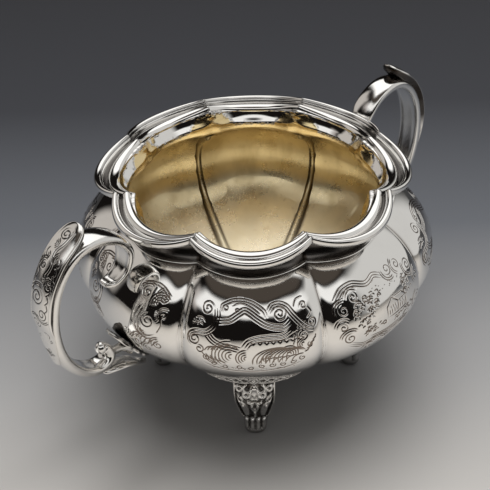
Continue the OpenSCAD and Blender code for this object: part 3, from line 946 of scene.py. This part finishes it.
def handle_plate():
    """Thin pointed plate with a raised edge and a rib down its middle."""
    n = 121
    u = linspace(-1, 1, n)
    s = PLATE_HALF * u[:, None]
    line = PLATE_MID + PLATE_D * s - PLATE_N * s * s / 190 + PLATE_N * 0.1
    out = unit(PLATE_N + PLATE_D * s / 95)
    width = 7.3 * (0.08 + 0.92 * cos(90 * u) ** 0.8) * (1 - 0.10 * abs(sin(450 * u)) ** 2)
    top = linspace(-1, 1, 44)
    off = abs(top)
    rise = 0.25 + 0.55 * bell(top, 0.16) + 0.45 * bell(off - 0.92, 0.07) \
        + 0.12 * abs(sin(300 * (u[:, None] + 0.5 * off))) * (off < 0.85)
    v = join([rise, np.full((n, 12), -0.6)], 1) * np.clip(8 * (1 - abs(u)), 0.3, 1)[:, None]
    across = np.broadcast_to(join([top, linspace(0.96, -0.96, 12)]), v.shape)
    grid = sweep(line, out, width, 1.0, stack([across, v], -1))
    dark = join([0.55 * bell(off - 0.5, 0.28, 4), np.full(12, 0.9)])
    return tube_part(grid, tarnish=np.broadcast_to(dark, v.shape))


def handle_bracket():
    """A turned stem from the curl to the plate, with a plain hollow leaf and a bud below it."""
    start = np.array([74.0, 0, 51.2])
    axis = PLATE_MID - start
    far = float(np.linalg.norm(axis))
    stem = lathe(start, axis, [(-0.6, 1.9), (0.3, 2.5), (0.9, 2.6), (1.4, 1.9), (far * 0.5, 1.7),
        (far * 0.70, 2.1), (far * 0.85, 3.1), (far - 0.2, 4.2)])
    stem.marks["tarnish"] += 0.3
    line, out = in_plane(LOWER_LEAF_PATH, 20)
    n = len(line)
    u = linspace(0, 1, n)
    width = 1.0 + 3.1 * sin(180 * u ** 0.8) ** 0.9
    c, s = cos(turns(48)), sin(turns(48))
    hollow = 1.1 * abs(c) ** 2.4
    v = 0.34 * np.sign(s) * np.sqrt(abs(s)) + np.where(s >= 0, 1.0, 0.7) * hollow
    ends = round_ends(n, 8)
    grid = sweep(line, -out, width * ends, ends, stack([c, v], -1))
    leaf = tube_part(grid, tarnish=np.broadcast_to(0.45 * bell(c, 0.55, 4), grid.shape[:2]))
    return [stem, leaf, ball((62.6, 0, 39.4), 1.8, petals=5)]


for side, turn in (("right", 0), ("left", 180)):
    for name, parts in (("scroll", [handle_scroll()]), ("leaf", [handle_leaf()]), ("ball", [handle_ball()]),
            ("bracket", handle_bracket()), ("plate", [handle_plate()])):
        piece(f"{side}_{name}", [p.turned(turn) for p in parts], SILVER_CAST,
            [f"handle_{side}_{name}"])


# ---- feet, built on the +X side ----

# Height, distance of the leg's middle from the axis, half width and half depth
LEG_ROWS = np.array([(0, 40, 3.8, 3.4), (1.2, 40, 4.4, 4.0), (3.4, 40.2, 4.6, 3.9), (5.6, 40.4, 4.7, 3.2),
    (10, 41.6, 5.8, 3.0), (16, 43.8, 7.2, 3.2), (22, 46.2, 8.2, 3.6), (28, 48, 8.2, 3.8)])
LEG_H = 28
LEG_STUB = 8.8  # chart height of the part above LEG_H, which follows the bowl's underside
TOE_H = 9.6


def leg_strokes():
    """Raised work on the leg's outer face, in mm across and up: rails, leaves, a bar, a slot and curls."""
    half = [curve((7.7, 34), (7.7, 26), (6.9, 19.2), (5.7, 13), (4.5, 8.9)),
        curve((6.3, 25.5), (5.1, 21), (4.1, 15.4), (3.1, 11)),
        curve((6, 25), (3.8, 21.6), (2.6, 16.2), (2.8, 11)),
        curve((4.7, 21.4), (3.7, 16.9), (3.1, 13)),
        curve((1, 21), (1.2, 18.3), (0.3, 15.2)), curve((0, 22.7), (1.6, 22.9), (2.9, 23.8)),
        spiral(2.9, 28.2, 2.1, 0.4, 200, -430), spiral(5.4, 31.2, 1.6, 0.4, 250, 430),
        curve((0.3, 25.4), (1.5, 26.8), (1.6, 29.3), (0.6, 32)),
        curve((2.6, 33.2), (4, 31.6), (3.7, 29.6)), curve((6.4, 28), (5, 26.6), (4.4, 24.6))]
    middle = [curve((0, 15.4), (0, 13), (0, 10)), curve((0, 25.6), (0, 29), (0, 33.4))]
    return half + mirrored(half) + middle


def foot_leg():
    heights = join([linspace(0, TOE_H, 40)[:-1], linspace(TOE_H, LEG_H, 70),
        LEG_H + linspace(0, LEG_STUB, 34)[1:]])
    r, hw, hd = (np.interp(heights, LEG_ROWS[:, 0], LEG_ROWS[:, k]) for k in (1, 2, 3))
    a = turns(160)
    across = np.sign(sin(a)) * abs(sin(a)) ** 0.8
    depth = np.sign(cos(a)) * abs(cos(a)) ** 0.8
    z = np.broadcast_to(heights[:, None], (len(heights), len(a)))
    x = hw[:, None] * across
    front = np.clip(depth * 3, 0, 1)
    raised = engrave(x, z, leg_strokes(), 0.80)
    toes = [np.array([(t * 2.35, 3.6), (t * 2.3, 7.6)]) for t in (-1.5, -0.5, 0.5, 1.5)]
    knuckles = engrave(x, z, toes, 1.25)
    raised = np.maximum(raised * climb(z, 8.4, 0.8), knuckles)
    ground = climb(z, 2.4, 1.0) * front
    relief = (2.0 * raised ** 0.7 - 1.2) * ground
    hollow = -1.2 * np.clip(-depth, 0, 1) * bell(across, 0.6, 4) * bell(z - 13, 9, 4)
    away = r[:, None] + hd[:, None] * depth + relief - hollow
    under = BELLY_Z - UNDER_DROP * np.sqrt(1 - (np.hypot(away, x) / BODY_R) ** 2) - 1.2
    height = np.where(z > LEG_H, LEG_H + (z - LEG_H) * (under - LEG_H) / LEG_STUB, z)
    pits = np.clip(1 - 1.8 * raised, 0, 1) * ground + 0.6 * bell(z - 1.0, 1.8)
    return tube_part(stack([away, x, height], -1), tarnish=np.clip(pits, 0, 1))


APRON_HALF = 18.5
APRON_MM = 0.96  # millimetres across to a degree round the bowl


def apron_point(x, e, off):
    """Point x mm across and e mm above the apron's upper edge, standing off the bowl."""
    u = np.clip(x / (APRON_MM * APRON_HALF), -1, 1)
    edge = -46.5 + 3 * u * u + 11.5 * np.maximum(cos(90 * u), 0) ** 0.7
    return body_point(x / APRON_MM, edge + e, off)


SKIRT_T = -34.5  # where the openwork border leaves the bowl


def skirt_point(x, drop):
    """Point x mm across the openwork border and drop mm below the line where it leaves the bowl."""
    x, drop = np.broadcast_arrays(np.asarray(x, float), np.asarray(drop, float))
    p = body_point(x / APRON_MM, SKIRT_T, 0.5)
    p[..., :2] *= 1 - 0.006 * drop[..., None]
    p[..., 2] -= drop
    return p


def skirt_wire(points, radius, taper=1.0):
    """A round wire through points of the border, thinner towards its far end by taper."""
    p = skirt_point(*np.asarray(points, float).T)
    line, out = smooth_line(p, 5), smooth_line(unit(p * [1, 1, 0]), 5)
    r = radius * round_ends(len(line), 4) * linspace(1, taper, len(line))
    section = stack([cos(turns(12)), sin(turns(12))], -1)
    part = tube_part(sweep(line, unit(out), r, r, section))
    # Painted shade: the border's wires hang under the bowl and are darkened
    part.marks["tarnish"] += 0.35
    return part


def foot_apron():
    """Scalloped sheet under the bowl, edged with a hanging openwork border of C-scrolls and beads."""
    cols, rows = 121, 40
    x = linspace(-14.6, 14.6, cols)[None, :]
    span = np.sqrt(np.clip(1 - (x / 15.0) ** 2, 0.02, 1))
    top = -1.0 - 0.5 * abs(sin(360 * x / 5.2))
    e = top - linspace(0, 1, rows)[:, None] * (2 + 17 * span)
    fluting = 0.35 * abs(sin(90 * x / 2.6)) * np.exp(np.minimum(0, (e - top) / 6 + 0.5))
    outer = apron_point(x, e, 1.3 + fluting)
    inner = apron_point(x, e, 0.0)[::-1]
    # Painted shade: the sheet behind the openwork border is made dark, its raised flutes less so
    parts = [slab_part(join([outer, inner]),
        tarnish=join([0.85 - 0.3 * (fluting > 0.2), np.zeros_like(fluting)]))]
    for s in (1, -1):
        for x0, r, a0, a1 in ((3.1, 1.35, 200, -100), (6.3, 1.2, -20, 280),
                (9.3, 1.0, 200, -100), (11.9, 0.75, -20, 280)):
            line = np.vstack([arc(x0, 1.75, r, a0, a1), spiral(x0, 1.75, r, r * 0.35, a1, a1 - a0)[1:6]])
            parts += [skirt_wire(line * [s, 1], 0.42, 0.8)]
        top_wire = np.array([(0, 0.1), (5, 0.1), (10, 0.2), (14, 0.3), (17.3, -0.2)])
        low_wire = np.array([(1.2, 3.5), (4.6, 3.5), (8.4, 3.1), (12, 2.3), (15, 1.2), (17.4, -0.2)])
        parts += [skirt_wire(top_wire * [s, 1], 0.36, 0.5)]
        parts += [skirt_wire(low_wire * [s, 1], 0.45, 0.5)]
        for x0 in (4.7, 7.8, 10.6, 13.2):
            parts += [ball(skirt_point(s * x0, 1.7 - 0.05 * x0), 0.5, sides=16)]
    a = np.arange(0, 361, 30)
    parts += [skirt_wire(stack([1.5 * cos(a), 2.0 + 1.5 * sin(a)], -1), 0.45)]
    parts += [ball(skirt_point(0.0, 2.0), 0.75, petals=5, sides=20)]
    return parts


for k in range(4):
    turn = 45 + 90 * k
    piece(f"foot_{k + 1}_cast_leg", [foot_leg().turned(turn)], SILVER_CAST, [f"foot_{k + 1}_leg"])
    piece(f"foot_{k + 1}_scroll_apron", [p.turned(turn) for p in foot_apron()], SILVER_CAST,
        [f"foot_{k + 1}_apron"])


# ---- camera, floor and studio ----

def place_axes(obj, x, y, z, at):
    """Turns obj so that its axes lie along x, y and z, and moves it to at."""
    matrix = np.eye(4)
    matrix[:3] = stack([x, y, z, at], -1)
    obj.matrix_world = Matrix(matrix.tolist())


# The photograph's view, as a fixed place and direction: turn and height of the line of sight, roll,
# distance, shift across and up, and the height looked at
VIEW_TURN = math.radians(-43.105)
VIEW_UP = math.radians(35.856)
VIEW_ROLL = -0.02799
VIEW_BACK = 0.39385
VIEW_SIDE, VIEW_DROP = -0.003611, -0.027918
VIEW_AIM_Z = 0.0954

right = np.array([math.cos(VIEW_TURN), math.sin(VIEW_TURN), 0])
ahead = np.array([-math.sin(VIEW_TURN), math.cos(VIEW_TURN), 0])
back = -math.cos(VIEW_UP) * ahead + [0, 0, math.sin(VIEW_UP)]
up = np.cross(back, right)
place = right * VIEW_SIDE + up * VIEW_DROP + back * VIEW_BACK + [0, 0, VIEW_AIM_Z]
cam_x = math.cos(VIEW_ROLL) * right + math.sin(VIEW_ROLL) * up
cam_y = -math.sin(VIEW_ROLL) * right + math.cos(VIEW_ROLL) * up
camera = add_object("camera", bpy.data.cameras.new("camera"))
camera.data.lens = 76.6
camera.data.clip_start = 0.01
place_axes(camera, cam_x, cam_y, back, place)
scene.camera = camera
scene.view_settings.view_transform = "Standard"


def floor():
    """A pale matt table top, its colour painted darker towards the back to stand for the light falling off.
    """
    mesh = bpy.data.meshes.new("floor")
    half = 12.0
    corners = [(-half, -half, 0), (half, -half, 0), (half, half, 0), (-half, half, 0)]
    mesh.from_pydata(corners, [], [(0, 1, 2, 3)])
    obj = add_object("floor", mesh)
    material, shader, g = new_material("floor_pale")
    # Painted light falloff: the colour runs from pale at the front to near black at the back
    ramp = g.add("ShaderNodeValToRGB")
    g.put(g.span(g.split(g.where, -VIEW_TURN)[1], -0.5, 0.7), ramp.inputs[0])
    stops = ((0.0, (0.37, 0.352, 0.328)), (0.22, (0.325, 0.312, 0.296)),
        (0.36, (0.180, 0.180, 0.182)), (0.50, (0.060, 0.064, 0.073)),
        (0.66, (0.019, 0.020, 0.024)), (1.0, (0.0085, 0.0085, 0.0105)))
    while len(ramp.color_ramp.elements) < len(stops):
        ramp.color_ramp.elements.new(0.5)
    for element, (where, colour) in zip(ramp.color_ramp.elements, stops):
        element.position = where
        element.color = (*colour, 1)
    g.put(ramp.outputs[0], shader.inputs["Base Color"])
    shader.inputs["Roughness"].default_value = 0.8
    mesh.materials.append(material)


floor()


def studio():
    """Soft studio: a high front softbox band, an overhead one, panels at both sides, and dark between."""
    world = bpy.data.worlds.new("studio")
    scene.world = world
    world.use_nodes = True
    tree = world.node_tree
    g = Graph(tree)
    x, y, z = g.split(tree.nodes["Texture Coordinate"].outputs["Generated"], -VIEW_TURN)

    def angle(a, b):
        return g.times(g.math("ARCTAN2", a, b), 180 / math.pi)

    def between(value, low, high, soft):
        return g.times(g.span(value, low - soft, low + soft), g.span(value, high + soft, high - soft))

    # Degrees above the horizon, round from the right, over from the near side, and round from the left
    rise = g.times(g.math("ARCSINE", z), 180 / math.pi)
    turn = angle(y, x)
    over = angle(z, g.times(y, -1.0))
    turn_left = angle(g.times(y, -1.0), g.times(x, -1.0))
    # Above the lights it is dim, and each light covers the ones before it
    colour = g.mix(g.span(rise, 58, 63), (0.007, 0.006, 0.0055, 1), (0.065, 0.054, 0.045, 1))
    for one, other, lit in (
            (between(rise, 2, 50, 6), between(turn_left, -48, -5, 5), (0.50, 0.47, 0.44, 1)),
            (between(rise, 32, 50, 5), between(turn_left, 2, 28, 6), (0.42, 0.39, 0.37, 1)),
            (between(rise, -4, 54, 6), between(turn, -30, 52, 10), (0.60, 0.595, 0.58, 1)),
            (between(over, 90, 150, 4), between(x, -0.34, 0.52, 0.06), (1.15, 1.14, 1.12, 1)),
            (between(rise, 38, 57, 3), between(turn, -165, -22, 10), (0.90, 0.895, 0.88, 1))):
        colour = g.mix(g.times(one, other), colour, lit)
    g.put(colour, tree.nodes["Background"].inputs["Color"])

    light = bpy.data.lights.new("table_light", "AREA")
    light.shape = "RECTANGLE"
    light.size = light.size_y = 0.72
    light.energy = 15.0
    light.color = (1.0, 0.985, 0.96)
    lamp = add_object("table_light", light)
    spot = right * 0.03 + ahead * 0.04 + [0, 0, 0.85]
    aim = unit(spot)
    side = unit(np.cross([0, 1, 0], aim))
    place_axes(lamp, side, np.cross(aim, side), aim, spot)
    lamp.visible_glossy = False


studio()
